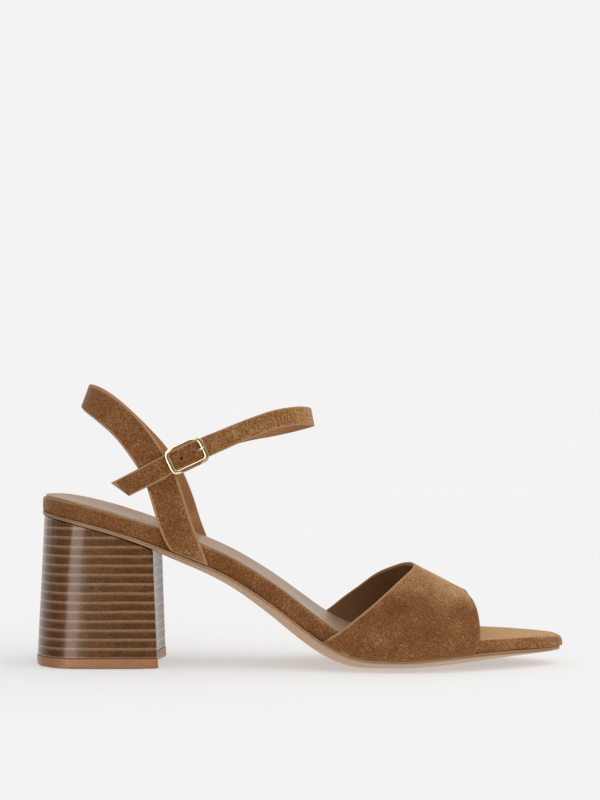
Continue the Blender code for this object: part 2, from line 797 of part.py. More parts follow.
def make_buckle_frame(group, cutters):
    curve = bpy.data.curves.new("buckle_outline", "CURVE")
    curve.dimensions = "2D"
    curve.fill_mode = "BOTH"
    curve.extrude = 0.5 * BUCKLE_THICKNESS - BUCKLE_BEVEL
    curve.bevel_depth = BUCKLE_BEVEL
    curve.bevel_resolution = 1
    curve.offset = -BUCKLE_BEVEL
    add_outline(curve, BUCKLE_LENGTH, BUCKLE_WIDTH, BUCKLE_CORNER)
    inner = BUCKLE_CORNER - BUCKLE_BAR
    add_outline(curve, BUCKLE_LENGTH - 2 * BUCKLE_BAR, BUCKLE_WIDTH - 2 * BUCKLE_BAR, inner)
    frame = mesh_from_curve("buckle_frame", group, pale_gold(), curve)
    side = 0.5 * (BUCKLE_WIDTH - BUCKLE_BAR)
    depth = centre_bar_depth()
    path = [(0.0, side, 0.0)]
    path += [(0.0, side, -depth + BUCKLE_BAR), (0.0, side - 0.3 * BUCKLE_BAR, -depth + 0.3 * BUCKLE_BAR)]
    path += [(0.0, side - BUCKLE_BAR, -depth), (0.0, 0.0, -depth), (0.0, BUCKLE_BAR - side, -depth)]
    path += [(0.0, 0.3 * BUCKLE_BAR - side, -depth + 0.3 * BUCKLE_BAR), (0.0, -side, -depth + BUCKLE_BAR)]
    path += [(0.0, -side, 0.0)]
    bar = wire("centre_bar", cutters, None, path, CENTRE_BAR_RADIUS)
    for item in (frame, bar):
        item.data.transform(buckle_frame_axes())
    cut(frame, bar, "UNION")
    return frame


def make_prong(group):
    """Wire hooked round the centre bar, up through the strap hole and over the front bar."""
    radius = CENTRE_BAR_RADIUS + GAP + PRONG_RADIUS
    path = hook_points(radius, PRONG_WRAP, 10)
    level = path[-1].z
    strap_middle = -0.5 * BUCKLE_THICKNESS - GAP - 0.5 * STRAP_WALL
    over = 0.5 * BUCKLE_THICKNESS + GAP + PRONG_RADIUS
    climb = over - strap_middle
    path.append(Vector((PRONG_HOLE_REACH - 0.95 * (strap_middle - level) - PRONG_RADIUS, 0.0, level)))
    path.append(Vector((PRONG_HOLE_REACH - 0.7 * (strap_middle - level), 0.0, 0.85 * level + 0.15 * strap_middle)))
    path.append(Vector((PRONG_HOLE_REACH, 0.0, strap_middle)))
    path.append(Vector((PRONG_HOLE_REACH + 0.4 * climb, 0.0, strap_middle + 0.8 * climb)))
    path.append(Vector((PRONG_HOLE_REACH + 0.7 * climb, 0.0, over)))
    path.append(Vector((0.5 * BUCKLE_LENGTH - 0.35 * BUCKLE_BAR, 0.0, over)))
    item = wire("buckle_prong", group, pale_gold(), path, PRONG_RADIUS)
    item.data.transform(buckle_frame_axes())
    return item


def main():
    clear_scene()
    parts = make_collection("block heel sandal")
    cutters = make_collection("cutters")
    make_outsole(parts)
    make_footbed(parts)
    make_sock(parts)
    make_heel(parts, cutters)
    make_heel_tip(parts)
    make_vamp(parts)
    make_heel_and_ankle_strap(parts, cutters)
    make_buckle_frame(parts, cutters)
    make_prong(parts)


main()
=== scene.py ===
import math

import bmesh
import bpy
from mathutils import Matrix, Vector
from mathutils.bvhtree import BVHTree
from mathutils.kdtree import KDTree


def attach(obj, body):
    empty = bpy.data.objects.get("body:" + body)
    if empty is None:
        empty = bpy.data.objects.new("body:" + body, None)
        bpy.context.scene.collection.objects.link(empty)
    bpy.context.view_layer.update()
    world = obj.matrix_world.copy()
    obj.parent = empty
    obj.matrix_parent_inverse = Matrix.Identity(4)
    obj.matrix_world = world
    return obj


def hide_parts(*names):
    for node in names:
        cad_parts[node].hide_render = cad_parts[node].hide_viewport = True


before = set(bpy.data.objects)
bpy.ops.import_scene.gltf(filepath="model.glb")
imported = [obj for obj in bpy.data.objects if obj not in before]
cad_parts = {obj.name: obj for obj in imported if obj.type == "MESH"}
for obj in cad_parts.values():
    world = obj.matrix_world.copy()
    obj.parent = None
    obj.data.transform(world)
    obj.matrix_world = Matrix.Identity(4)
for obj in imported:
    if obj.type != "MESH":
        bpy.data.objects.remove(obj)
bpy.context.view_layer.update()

bl_info = {
    "name": "Block heel sandal",
    "version": (1, 0, 0),
    "blender": (4, 5, 0),
    "location": "View3D > Sidebar > Sandal",
    "description": "Dresses the block heel sandal: suede, sock, stacked heel, outsole and buckle",
    "category": "Object",
}

MM = 0.001
EDGE_ATTRIBUTE = "from_edge"
FACE, LINING, RIM, HOLE = range(4)

# Points of a solid's mesh that lie closer than this are merged in its copy
MERGE_DISTANCE = 0.005 * MM

# Angles in degrees: faces merged as flat, corners that are rounded, edges kept sharp and shaded smooth
FLAT_ANGLE = 25
SHAPE_ANGLE = 60
CORNER_ANGLE = 50
CHAMFER_ANGLE = 30
SHARP_ANGLE = 50
METAL_SHARP_ANGLE = 80
SMOOTH_ANGLE = 42

# How far a face has to look out or in to count as a strap's suede or lining
FACE_LEAST = 0.60
LINING_LEAST = 0.60
VAMP_LINING_LEAST = 0.62

# Height of the arch's middle under the vamp, and the middle line of the leg in the ankle strap
ARCH_HEIGHT = 8.0 * MM
LEG_BACK = 20.0 * MM
LEG_FRONT = 66.0 * MM

# The vamp's rolled rear edge: how far forward it reaches and where its lasted foot begins
ROLLED_END = 148.0 * MM
FOOT_TURN = 112.0 * MM
REAR_FOOT = 14.5 * MM
FRONT_FOOT = 8.5 * MM

# The suede's parts of contrast: brushed patches, blotches, fine grain and flecks
PATCH_CONTRAST = 0.14
BLOTCH_CONTRAST = 0.05
GRAIN_CONTRAST = 0.40
FLECK_CONTRAST = 0.14
BLOTCH_FINER = 3.7
FLECK_COARSER = 0.55
NAP_RANGE = 0.75
SPECKLE = 0.10

# The fine lines under the forefoot: where they lie, and their depth against the rubber's grain
TREAD_START = 110.0 * MM
TREAD_END = 170.0 * MM
TREAD_HALF_WIDTH = 25.0 * MM
TREAD_DEPTH = 8.0

# The stacked heel's pale lines, as shares of a layer: how they rise and how they end at the top
LINE_RISE = (0.52, 0.92)
LINE_END = (1.0, 0.93)

# The floor with its paler places, the key light and the camera's body
FLOOR_SIZE = 60.0
FLOOR_DROP = 0.02 * MM
FLOOR_PALER = (236, 236, 236)
KEY_PLACE = (0.7, -0.5, 1.1)
KEY_AIM = (0.0, 0.0, 0.04)
KEY_SPREAD = 70
SENSOR_WIDTH = 36.0
CLIP_START = 0.01
CLIP_END = 200.0

# The box of stitches on the inner side, in the plane of X and Z
SEAM_SLOPE = math.radians(19.0)
SEAM_CENTRE = Vector((33.3 * MM, 0.0, 91.9 * MM))
SEAM_ALONG = Vector((math.cos(SEAM_SLOPE), 0.0, math.sin(SEAM_SLOPE)))
SEAM_ACROSS = Vector((-math.sin(SEAM_SLOPE), 0.0, math.cos(SEAM_SLOPE)))
SEAM_BESIDE = 60.0 * MM
SEAM_HALF_LENGTH = 4.6 * MM
SEAM_HALF_WIDTH = 2.6 * MM

# Painted shade on the vamp's outer side, with one painted lighter spot: place and reach in mm, and how much
# darker or lighter
VAMP_PAINTED_SHADE = (
    ((147.0, -30.0, 31.0), (18.0, 14.0, 8.0), -0.26),
    ((165.0, -28.0, 26.5), (15.0, 14.0, 8.0), -0.26),
    ((137.0, -34.0, 27.5), (9.0, 9.0, 8.0), -0.18),
    ((154.5, -37.0, 19.0), (12.0, 10.0, 9.0), -0.12),
    ((133.0, -39.0, 9.5), (16.0, 9.0, 5.0), -0.10),
    ((126.0, -38.0, 18.0), (18.0, 10.0, 9.0), 0.11),
)

# Soft troughs pressed into the vamp: start and end in mm, half width and depth in mm
VAMP_TROUGHS = (
    ((149.0, -24.0, 34.5), (169.0, -29.0, 26.0), 5.0, 0.40),
    ((151.0, -37.0, 22.0), (165.0, -36.0, 12.0), 5.0, 0.25),
    ((151.0, 22.0, 35.5), (166.0, 31.0, 25.0), 5.0, 0.35),
)

# Painted shade on the sock, browner on the seat beside the sling and at the waist: place and reach in mm,
# and how much
SOCK_PAINTED_SHADE = (
    ((14.0, 20.0, 69.0), (30.0, 16.0, 12.0), 0.9),
    ((52.0, 0.0, 52.0), (34.0, 40.0, 16.0), 0.6),
)


def linear(red, green, blue):
    """An eye-read colour of 0 to 255 as the linear colour that shaders use."""
    values = []
    for part in (red, green, blue):
        part /= 255.0
        values.append(part / 12.92 if part <= 0.04045 else ((part + 0.055) / 1.055) ** 2.4)
    return tuple(values)


def colour_property(name, description, eye):
    return bpy.props.FloatVectorProperty(
        name=name, description=description, subtype="COLOR", size=3, min=0.0, max=1.0, default=linear(*eye))


def length_property(name, description, default, low, high):
    return bpy.props.FloatProperty(
        name=name, description=description, default=default, min=low, max=high,
        subtype="DISTANCE", unit="LENGTH", precision=5)


def strength_property(name, description, default):
    return bpy.props.FloatProperty(
        name=name, description=description, default=default, min=0.0, max=20.0)


class SandalSizes(bpy.types.PropertyGroup):
    strap_edge: length_property(
        "Strap edge", "Rounding of the straps' cut edges", 0.18 * MM, 0.05 * MM, 0.7 * MM)
    pale_line: length_property(
        "Pale line", "Width of the pale line on a strap's face", 0.06 * MM, 0.0, 2.0 * MM)
    rolled_line: length_property(
        "Rolled line", "Width of the vamp's rolled rear edge", 0.28 * MM, 0.0, 2.0 * MM)
    raw_edge: length_property(
        "Raw edge", "Depth of the pale suede in a cut edge", 0.75 * MM, 0.1 * MM, 2.0 * MM)
    hidden_gap: length_property(
        "Hidden gap", "Gap between solids that the finished pieces close", 0.26 * MM, 0.0, 1.0 * MM)
    sole_edge: length_property(
        "Sole edge", "Rounding of the sole's edges", 0.25 * MM, 0.05 * MM, 0.6 * MM)
    metal_edge: length_property(
        "Metal edge", "Rounding of the buckle's edges", 0.20 * MM, 0.02 * MM, 0.4 * MM)
    groove_margin: length_property(
        "Groove margin", "Edge left on each side of the outsole's line", 0.42 * MM, 0.1 * MM, 1.0 * MM)
    groove_end: length_property(
        "Groove end", "Where the outsole's line ends, short of the toe", 207.0 * MM, 0.0, 220.0 * MM)
    groove_depth: length_property(
        "Groove depth", "Depth of the outsole's line", 0.07 * MM, 0.0, 0.5 * MM)
    tread_pitch: length_property(
        "Tread pitch", "Distance of the fine lines under the forefoot", 3.0 * MM, 1.0 * MM, 8.0 * MM)
    stitch_length: length_property(
        "Stitch length", "Length of one stitch", 1.6 * MM, 0.5 * MM, 4.0 * MM)
    stitch_radius: length_property(
        "Stitch radius", "Half the thread's thickness", 0.17 * MM, 0.05 * MM, 0.5 * MM)
    stack_pitch: length_property(
        "Stack pitch", "Height of one layer of the heel", 4.17 * MM, 2.0 * MM, 8.0 * MM)
    stack_start: length_property(
        "Stack start", "Height where the lowest layer begins", 1.49 * MM, 0.0, 10.0 * MM)
    grain_size: length_property("Nap grain", "Size of the suede's grain", 0.48 * MM, 0.2 * MM, 3.0 * MM)
    patch_size: length_property(
        "Nap patches", "Size of the brushed patches", 14.0 * MM, 4.0 * MM, 60.0 * MM)


class SandalColours(bpy.types.PropertyGroup):
    # Also the painted shade of the vamp's marks
    suede_dark: colour_property("Suede, dark", "Nap lying away from the light", (78, 44, 19))
    suede_mid: colour_property("Suede, middle", "Main colour of the suede", (124, 79, 42))
    # Also the painted light on faces that look up and towards the toe
    suede_light: colour_property("Suede, light", "Nap brushed towards the light", (184, 141, 93))
    cut_edge: colour_property("Cut edge", "Raw edges of the straps", (176, 136, 100))
    strap_lining: colour_property("Strap lining", "Inside of the sling and the ankle strap", (172, 124, 82))
    vamp_lining: colour_property("Vamp lining", "Inside of the vamp", (134, 96, 64))
    sock: colour_property("Sock", "Smooth sock on the footbed", (150, 122, 94))
    # Painted shade: the brown of the sock's shaded places
    sock_shaded_brown: colour_property("Sock, brown", "Browner parts of the sock", (146, 100, 64))
    sock_edge: colour_property("Sock edge", "Cut edge of the sock", (176, 142, 114))
    outsole: colour_property("Outsole", "Tan of the outsole's underside", (196, 160, 124))
    # Painted shade: the upright edge is browner for the shade under the footbed's rim
    outsole_edge_shade: colour_property("Outsole edge", "Brown of the outsole's upper edge", (158, 120, 88))
    heel_dark: colour_property("Heel, dark", "Dark layers of the heel", (68, 41, 12))
    heel_light: colour_property("Heel, light", "Grain in the heel's layers", (110, 73, 34))
    heel_line: colour_property("Heel lines", "Pale lines between the layers", (158, 112, 78))
    heel_tip: colour_property("Heel tip", "Tan of the heel tip", (158, 108, 70))
    # Painted shade: the line is darker than the edge around it, for the shade in it
    groove: colour_property("Groove", "Line in the outsole's edge", (138, 104, 76))
    # Painted shade: the inside of a strap hole is near black
    hole: colour_property("Hole", "Inside of a strap hole", (40, 26, 16))
    thread: colour_property("Thread", "Sewing thread on the inner seam", (150, 106, 64))
    gold: colour_property("Gold", "Pale gold of the buckle", (228, 206, 172))
    # Painted reflection: the flat face is browner, standing in for the dark surroundings that it mirrors
    gold_dark_reflection: colour_property("Gold, face", "Browner flat face of the buckle's frame", (112, 86, 60))
    floor: colour_property("Floor", "Studio floor", (192, 192, 192))


class SandalStudio(bpy.types.PropertyGroup):
    lens: bpy.props.FloatProperty(
        name="Lens", description="Focal length", default=95.13, min=20.0, max=300.0, unit="CAMERA")
    camera_place: bpy.props.FloatVectorProperty(
        name="Camera place", description="Where the camera stands", size=3,
        subtype="TRANSLATION", unit="LENGTH", default=(0.1072, -0.9736, 0.1210))
    camera_turn: bpy.props.FloatProperty(
        name="Camera turn", description="Turn of the level camera",
        subtype="ANGLE", unit="ROTATION", default=math.radians(0.8))
    backdrop: strength_property("Backdrop", "Brightness of the plain background", 0.896)
    fill: strength_property("Fill", "Even light from all sides", 0.80)
    tilt: strength_property("Tilt", "How much more of it comes from the toe's side", 0.30)
    floor_glow: strength_property("Floor glow", "Light of the translucent floor", 0.40)
    front: strength_property("Mirrored front", "What glossy faces mirror on the camera's side", 0.07)
    top: strength_property("Mirrored top", "What they mirror above", 0.9)
    below: strength_property("Mirrored floor", "What they mirror below", 0.7)
    behind: strength_property("Mirrored back", "What they mirror behind the shoe", 0.95)
    side: strength_property("Mirrored side", "What they mirror on the heel's side", 0.12)
    band: strength_property("Window", "Brightness of the tall window that the heel mirrors", 5.6)
    band_place: bpy.props.FloatProperty(
        name="Window place", description="Its direction, from the camera to the heel's side",
        subtype="ANGLE", unit="ROTATION", default=math.radians(26.0))
    band_width: bpy.props.FloatProperty(
        name="Window width", description="How wide it is, with its soft edges",
        subtype="ANGLE", unit="ROTATION", default=math.radians(40.0))
    key: strength_property("Key", "Strength of the soft key light", 0.55)


def sizes():
    return bpy.context.scene.sandal_sizes


def colours():
    return bpy.context.scene.sandal_colours


def studio():
    return bpy.context.scene.sandal_studio


# Node groups and materials

def new_group(name, inputs, outputs):
    """A shader node group with named sockets; returns it with its input and output nodes."""
    group = bpy.data.node_groups.new(name, "ShaderNodeTree")
    for label, kind, value in inputs:
        socket = group.interface.new_socket(name=label, in_out="INPUT", socket_type=kind)
        socket.default_value = value
    for label, kind in outputs:
        group.interface.new_socket(name=label, in_out="OUTPUT", socket_type=kind)
    source = group.nodes.new("NodeGroupInput")
    sink = group.nodes.new("NodeGroupOutput")
    return group, source, sink


def add_node(tree, kind, **values):
    node = tree.nodes.new(kind)
    for key, value in values.items():
        setattr(node, key, value)
    return node


def noise(tree, vector, scale, detail=3.0, roughness=0.55):
    node = add_node(tree, "ShaderNodeTexNoise")
    node.inputs["Detail"].default_value = detail
    node.inputs["Roughness"].default_value = roughness
    tree.links.new(vector, node.inputs["Vector"])
    set_input(tree, node.inputs["Scale"], scale)
    return node.outputs["Fac"]


def set_input(tree, socket, value):
    if isinstance(value, bpy.types.NodeSocket):
        tree.links.new(value, socket)
    else:
        socket.default_value = value


def maths(tree, operation, first, second=0.5, third=0.0):
    node = add_node(tree, "ShaderNodeMath", operation=operation)
    for socket, value in zip(node.inputs, (first, second, third)):
        set_input(tree, socket, value)
    return node.outputs[0]


def remap(tree, value, low, high, start=0.0, end=1.0):
    node = add_node(tree, "ShaderNodeMapRange", interpolation_type="SMOOTHSTEP")
    names = ("Value", "From Min", "From Max", "To Min", "To Max")
    for name, number in zip(names, (value, low, high, start, end)):
        set_input(tree, node.inputs[name], number)
    return node.outputs["Result"]


def mix(tree, factor, first, second, blend="MIX"):
    node = add_node(tree, "ShaderNodeMix", data_type="RGBA", blend_type=blend)
    set_input(tree, node.inputs["Factor"], factor)
    set_input(tree, node.inputs["A"], first)
    set_input(tree, node.inputs["B"], second)
    return node.outputs["Result"]


def four(colour):
    return (colour[0], colour[1], colour[2], 1.0)


def suede_group():
    """Brushed nap: patches, streaks and fine grain, as colour, roughness and height, with painted light:
    faces that look up and faces towards the toe are lighter, and Shift adds the painted shade and light of
    marks.
    """
    group, source, sink = new_group("Suede nap", (
        ("Vector", "NodeSocketVector", (0.0, 0.0, 0.0)),
        ("Dark", "NodeSocketColor", (0.1, 0.05, 0.02, 1.0)),
        ("Middle", "NodeSocketColor", (0.2, 0.1, 0.04, 1.0)),
        ("Light", "NodeSocketColor", (0.4, 0.2, 0.1, 1.0)),
        ("Grain Scale", "NodeSocketFloat", 1300.0),
        ("Patch Scale", "NodeSocketFloat", 70.0),
        ("Contrast", "NodeSocketFloat", 1.0),
        ("Shift", "NodeSocketFloat", 0.0),
        ("Top Lift", "NodeSocketFloat", 0.3),
        ("Fore Lift", "NodeSocketFloat", 0.0),
        ("Fore Start", "NodeSocketFloat", 0.05),
        ("Fore End", "NodeSocketFloat", 0.08),
        ("Cut Edge", "NodeSocketColor", (0.5, 0.3, 0.2, 1.0)),
        ("From Edge", "NodeSocketFloat", 0.01),
        ("Edge Width", "NodeSocketFloat", 0.0005),
    ), (("Color", "NodeSocketColor"), ("Roughness", "NodeSocketFloat"), ("Height", "NodeSocketFloat")))
    take = source.outputs
    vector = take["Vector"]
    patch = noise(group, vector, take["Patch Scale"], 4.0, 0.6)
    blotch = noise(group, vector, maths(group, "MULTIPLY", take["Patch Scale"], BLOTCH_FINER), 3.0, 0.55)
    grain = noise(group, vector, take["Grain Scale"], 2.0, 0.7)
    fleck = noise(group, vector, maths(group, "MULTIPLY", take["Grain Scale"], FLECK_COARSER), 2.0, 0.6)
    large = remap(group, patch, 0.32, 0.70, -PATCH_CONTRAST, PATCH_CONTRAST)
    middle = remap(group, blotch, 0.30, 0.72, -BLOTCH_CONTRAST, BLOTCH_CONTRAST)
    fine = remap(group, grain, 0.28, 0.72, -GRAIN_CONTRAST, GRAIN_CONTRAST)
    speck = remap(group, fleck, 0.32, 0.70, -FLECK_CONTRAST, FLECK_CONTRAST)
    total = maths(group, "ADD", maths(group, "ADD", large, middle), maths(group, "ADD", fine, speck))
    normal = add_node(group, "ShaderNodeNewGeometry").outputs["Normal"]
    split = add_node(group, "ShaderNodeSeparateXYZ")
    group.links.new(normal, split.inputs[0])
    # Painted light: faces that look up are painted lighter, standing in for the light from above and the
    # sheen seen at grazing views
    top = maths(group, "MULTIPLY", remap(group, split.outputs["Z"], 0.50, 1.0), take["Top Lift"])
    along = add_node(group, "ShaderNodeSeparateXYZ")
    group.links.new(vector, along.inputs[0])
    # Painted light: lighter from Fore Start to Fore End along X, standing in for the light from the toe's
    # side
    fore = remap(group, along.outputs["X"], take["Fore Start"], take["Fore End"], 0.0, take["Fore Lift"])
    painted_lifts = maths(group, "ADD", maths(group, "ADD", top, fore), take["Shift"])
    shade = maths(group, "MULTIPLY_ADD", total, take["Contrast"], painted_lifts)
    darker = remap(group, shade, 0.0, -NAP_RANGE)
    lighter = remap(group, shade, 0.0, NAP_RANGE)
    colour = mix(group, darker, take["Middle"], take["Dark"])
    colour = mix(group, lighter, colour, take["Light"])
    frayed = maths(group, "ADD", take["From Edge"], remap(group, fleck, 0.3, 0.7, -0.08 * MM, 0.08 * MM))
    inside = maths(group, "DIVIDE", frayed, take["Edge Width"])
    colour = mix(group, remap(group, inside, 1.3, 0.6, 0.0, 0.8), colour, take["Cut Edge"])
    speckled = add_node(group, "ShaderNodeVectorMath", operation="SCALE")
    group.links.new(colour, speckled.inputs[0])
    group.links.new(remap(group, grain, 0.30, 0.70, 1.0 - SPECKLE, 1.0 + SPECKLE), speckled.inputs["Scale"])
    group.links.new(speckled.outputs["Vector"], sink.inputs["Color"])
    group.links.new(remap(group, shade, -0.6, 0.6, 1.0, 0.82), sink.inputs["Roughness"])
    height = maths(group, "ADD", maths(group, "MULTIPLY", grain, 0.7), maths(group, "MULTIPLY", fleck, 0.5))
    group.links.new(height, sink.inputs["Height"])
    return group


def grain_group():
    """Fine pebble grain of smooth leather and moulded rubber, with slow colour drift."""
    group, source, sink = new_group("Fine grain", (
        ("Vector", "NodeSocketVector", (0.0, 0.0, 0.0)),
        ("Base", "NodeSocketColor", (0.5, 0.4, 0.3, 1.0)),
        ("Scale", "NodeSocketFloat", 1200.0),
        ("Drift", "NodeSocketFloat", 0.12),
        ("Roughness", "NodeSocketFloat", 0.5),
    ), (("Color", "NodeSocketColor"), ("Roughness", "NodeSocketFloat"), ("Height", "NodeSocketFloat")))
    take = source.outputs
    cells = add_node(group, "ShaderNodeTexVoronoi", feature="DISTANCE_TO_EDGE")
    group.links.new(take["Vector"], cells.inputs["Vector"])
    group.links.new(take["Scale"], cells.inputs["Scale"])
    pores = remap(group, cells.outputs["Distance"], 0.0, 0.18)
    slow = noise(group, take["Vector"], 55.0, 4.0, 0.6)
    fine = noise(group, take["Vector"], take["Scale"], 3.0, 0.6)
    change = maths(group, "MULTIPLY", remap(group, slow, 0.3, 0.7, -1.0, 1.0), take["Drift"])
    bright = add_node(group, "ShaderNodeHueSaturation")
    group.links.new(take["Base"], bright.inputs["Color"])
    group.links.new(maths(group, "ADD", change, 1.0), bright.inputs["Value"])
    dark = maths(group, "MULTIPLY_ADD", pores, 0.12, 0.88)
    shaded = add_node(group, "ShaderNodeVectorMath", operation="SCALE")
    group.links.new(bright.outputs["Color"], shaded.inputs[0])
    group.links.new(dark, shaded.inputs["Scale"])
    group.links.new(shaded.outputs["Vector"], sink.inputs["Color"])
    rough = maths(group, "ADD", take["Roughness"], remap(group, slow, 0.3, 0.7, -0.06, 0.08))
    group.links.new(rough, sink.inputs["Roughness"])
    group.links.new(maths(group, "ADD", maths(group, "MULTIPLY", pores, 0.6), fine), sink.inputs["Height"])
    return group


def group_of(name, maker):
    return bpy.data.node_groups.get(name) or maker()


def start_material(name):
    """A new material; returns it with its tree, shader and object coordinates."""
    material = bpy.data.materials.new(name)
    material.use_nodes = True
    tree = material.node_tree
    shader = tree.nodes["Principled BSDF"]
    place = add_node(tree, "ShaderNodeTexCoord").outputs["Object"]
    return material, tree, shader, place


def place_group(tree, group, place, **values):
    node = add_node(tree, "ShaderNodeGroup", node_tree=group)
    tree.links.new(place, node.inputs["Vector"])
    for name, value in values.items():
        set_input(tree, node.inputs[name.replace("_", " ")], value)
    return node


def add_bump(tree, shader, height, strength, distance):
    bump = add_node(tree, "ShaderNodeBump")
    bump.inputs["Strength"].default_value = strength
    bump.inputs["Distance"].default_value = distance
    tree.links.new(height, bump.inputs["Height"])
    tree.links.new(bump.outputs["Normal"], shader.inputs["Normal"])


def soft_marks(tree, place, marks):
    """Soft spots, as one value: each mark has a place, a reach along X, Y and Z in mm, and a depth."""
    total = None
    for centre, reach, depth in marks:
        away = add_node(tree, "ShaderNodeVectorMath", operation="SUBTRACT")
        tree.links.new(place, away.inputs[0])
        away.inputs[1].default_value = [MM * value for value in centre]
        share = add_node(tree, "ShaderNodeVectorMath", operation="DIVIDE")
        tree.links.new(away.outputs[0], share.inputs[0])
        share.inputs[1].default_value = [MM * value for value in reach]
        size = add_node(tree, "ShaderNodeVectorMath", operation="LENGTH")
        tree.links.new(share.outputs[0], size.inputs[0])
        mark = remap(tree, size.outputs["Value"], 1.0, 0.1, 0.0, depth)
        total = mark if total is None else maths(tree, "ADD", total, mark)
    return total


def suede(name, painted_top_light, fore, pale_line=0.0, contrast=1.0, marks=()):
    """Brushed suede with painted light: faces that look up are lighter by the second argument, fore is how
    much lighter the nap is painted towards the toe, and from where to where; marks add painted shade and
    light.
    """
    tints = colours()
    material, tree, shader, place = start_material(name)
    nap = place_group(
        tree, group_of("Suede nap", suede_group), place,
        Dark=four(tints.suede_dark), Middle=four(tints.suede_mid), Light=four(tints.suede_light),
        Grain_Scale=1.0 / sizes().grain_size, Patch_Scale=1.0 / sizes().patch_size,
        Top_Lift=painted_top_light, Fore_Lift=fore[0], Fore_Start=fore[1], Fore_End=fore[2],
        Cut_Edge=four(tints.cut_edge), Edge_Width=max(pale_line, 0.01 * MM), Contrast=contrast)
    if marks:
        tree.links.new(soft_marks(tree, place, marks), nap.inputs["Shift"])
    if pale_line:
        away = add_node(tree, "ShaderNodeAttribute", attribute_name=EDGE_ATTRIBUTE)
        tree.links.new(away.outputs["Fac"], nap.inputs["From Edge"])
    tree.links.new(nap.outputs["Color"], shader.inputs["Base Color"])
    tree.links.new(nap.outputs["Roughness"], shader.inputs["Roughness"])
    shader.inputs["Sheen Weight"].default_value = 0.35
    shader.inputs["Sheen Roughness"].default_value = 0.45
    shader.inputs["Sheen Tint"].default_value = (0.80, 0.60, 0.42, 1.0)
    shader.inputs["Specular IOR Level"].default_value = 0.15
    add_bump(tree, shader, nap.outputs["Height"], 0.55, 0.35 * MM)
    return material


def cut_edge(name, lining):
    """A strap's cut rim: pale raw suede at the outer side, then the lining's colour."""
    tints = colours()
    material, tree, shader, place = start_material(name)
    away = add_node(tree, "ShaderNodeAttribute", attribute_name=EDGE_ATTRIBUTE).outputs["Fac"]
    fray = remap(tree, noise(tree, place, 1800.0), 0.3, 0.7, -0.12 * MM, 0.12 * MM)
    depth = maths(tree, "DIVIDE", maths(tree, "ADD", away, fray), sizes().raw_edge)
    fuzz = mix(tree, remap(tree, noise(tree, place, 2600.0), 0.3, 0.7), four(tints.cut_edge),
               four(tuple(0.72 * value for value in tints.cut_edge)))
    colour = mix(tree, remap(tree, depth, 0.85, 1.15), fuzz, four(lining))
    tree.links.new(colour, shader.inputs["Base Color"])
    shader.inputs["Roughness"].default_value = 0.85
    shader.inputs["Specular IOR Level"].default_value = 0.2
    add_bump(tree, shader, noise(tree, place, 2000.0), 0.3, 0.10 * MM)
    return material


def tread_lines(tree, place):
    """Fine lines across the forefoot's underside, as height."""
    split = add_node(tree, "ShaderNodeSeparateXYZ")
    tree.links.new(place, split.inputs[0])
    along = split.outputs["X"]
    share = maths(tree, "FRACT", maths(tree, "DIVIDE", along, sizes().tread_pitch))
    ridge = remap(tree, maths(tree, "ABSOLUTE", maths(tree, "SUBTRACT", share, 0.5)), 0.10, 0.18)
    field = maths(tree, "MULTIPLY", remap(tree, along, TREAD_START - 2.0 * MM, TREAD_START),
                  remap(tree, along, TREAD_END + 2.0 * MM, TREAD_END))
    beside = maths(tree, "ABSOLUTE", split.outputs["Y"])
    across = remap(tree, beside, TREAD_HALF_WIDTH + MM, TREAD_HALF_WIDTH - MM)
    inside = maths(tree, "MULTIPLY", field, across)
    return maths(tree, "MULTIPLY", inside, maths(tree, "SUBTRACT", ridge, 1.0))


def plain(name, colour, roughness, scale=1200.0, drift=0.12, bump=0.25, specular=0.5, tread=False):
    """Smooth leather, rubber or a painted edge, with fine grain."""
    material, tree, shader, place = start_material(name)
    grain = place_group(tree, group_of("Fine grain", grain_group), place, Base=four(colour), Scale=scale,
                        Drift=drift, Roughness=roughness)
    tree.links.new(grain.outputs["Color"], shader.inputs["Base Color"])
    tree.links.new(grain.outputs["Roughness"], shader.inputs["Roughness"])
    shader.inputs["Specular IOR Level"].default_value = specular
    height = grain.outputs["Height"]
    if tread:
        height = maths(tree, "MULTIPLY_ADD", tread_lines(tree, place), TREAD_DEPTH, height)
    add_bump(tree, shader, height, bump, 0.08 * MM)
    return material


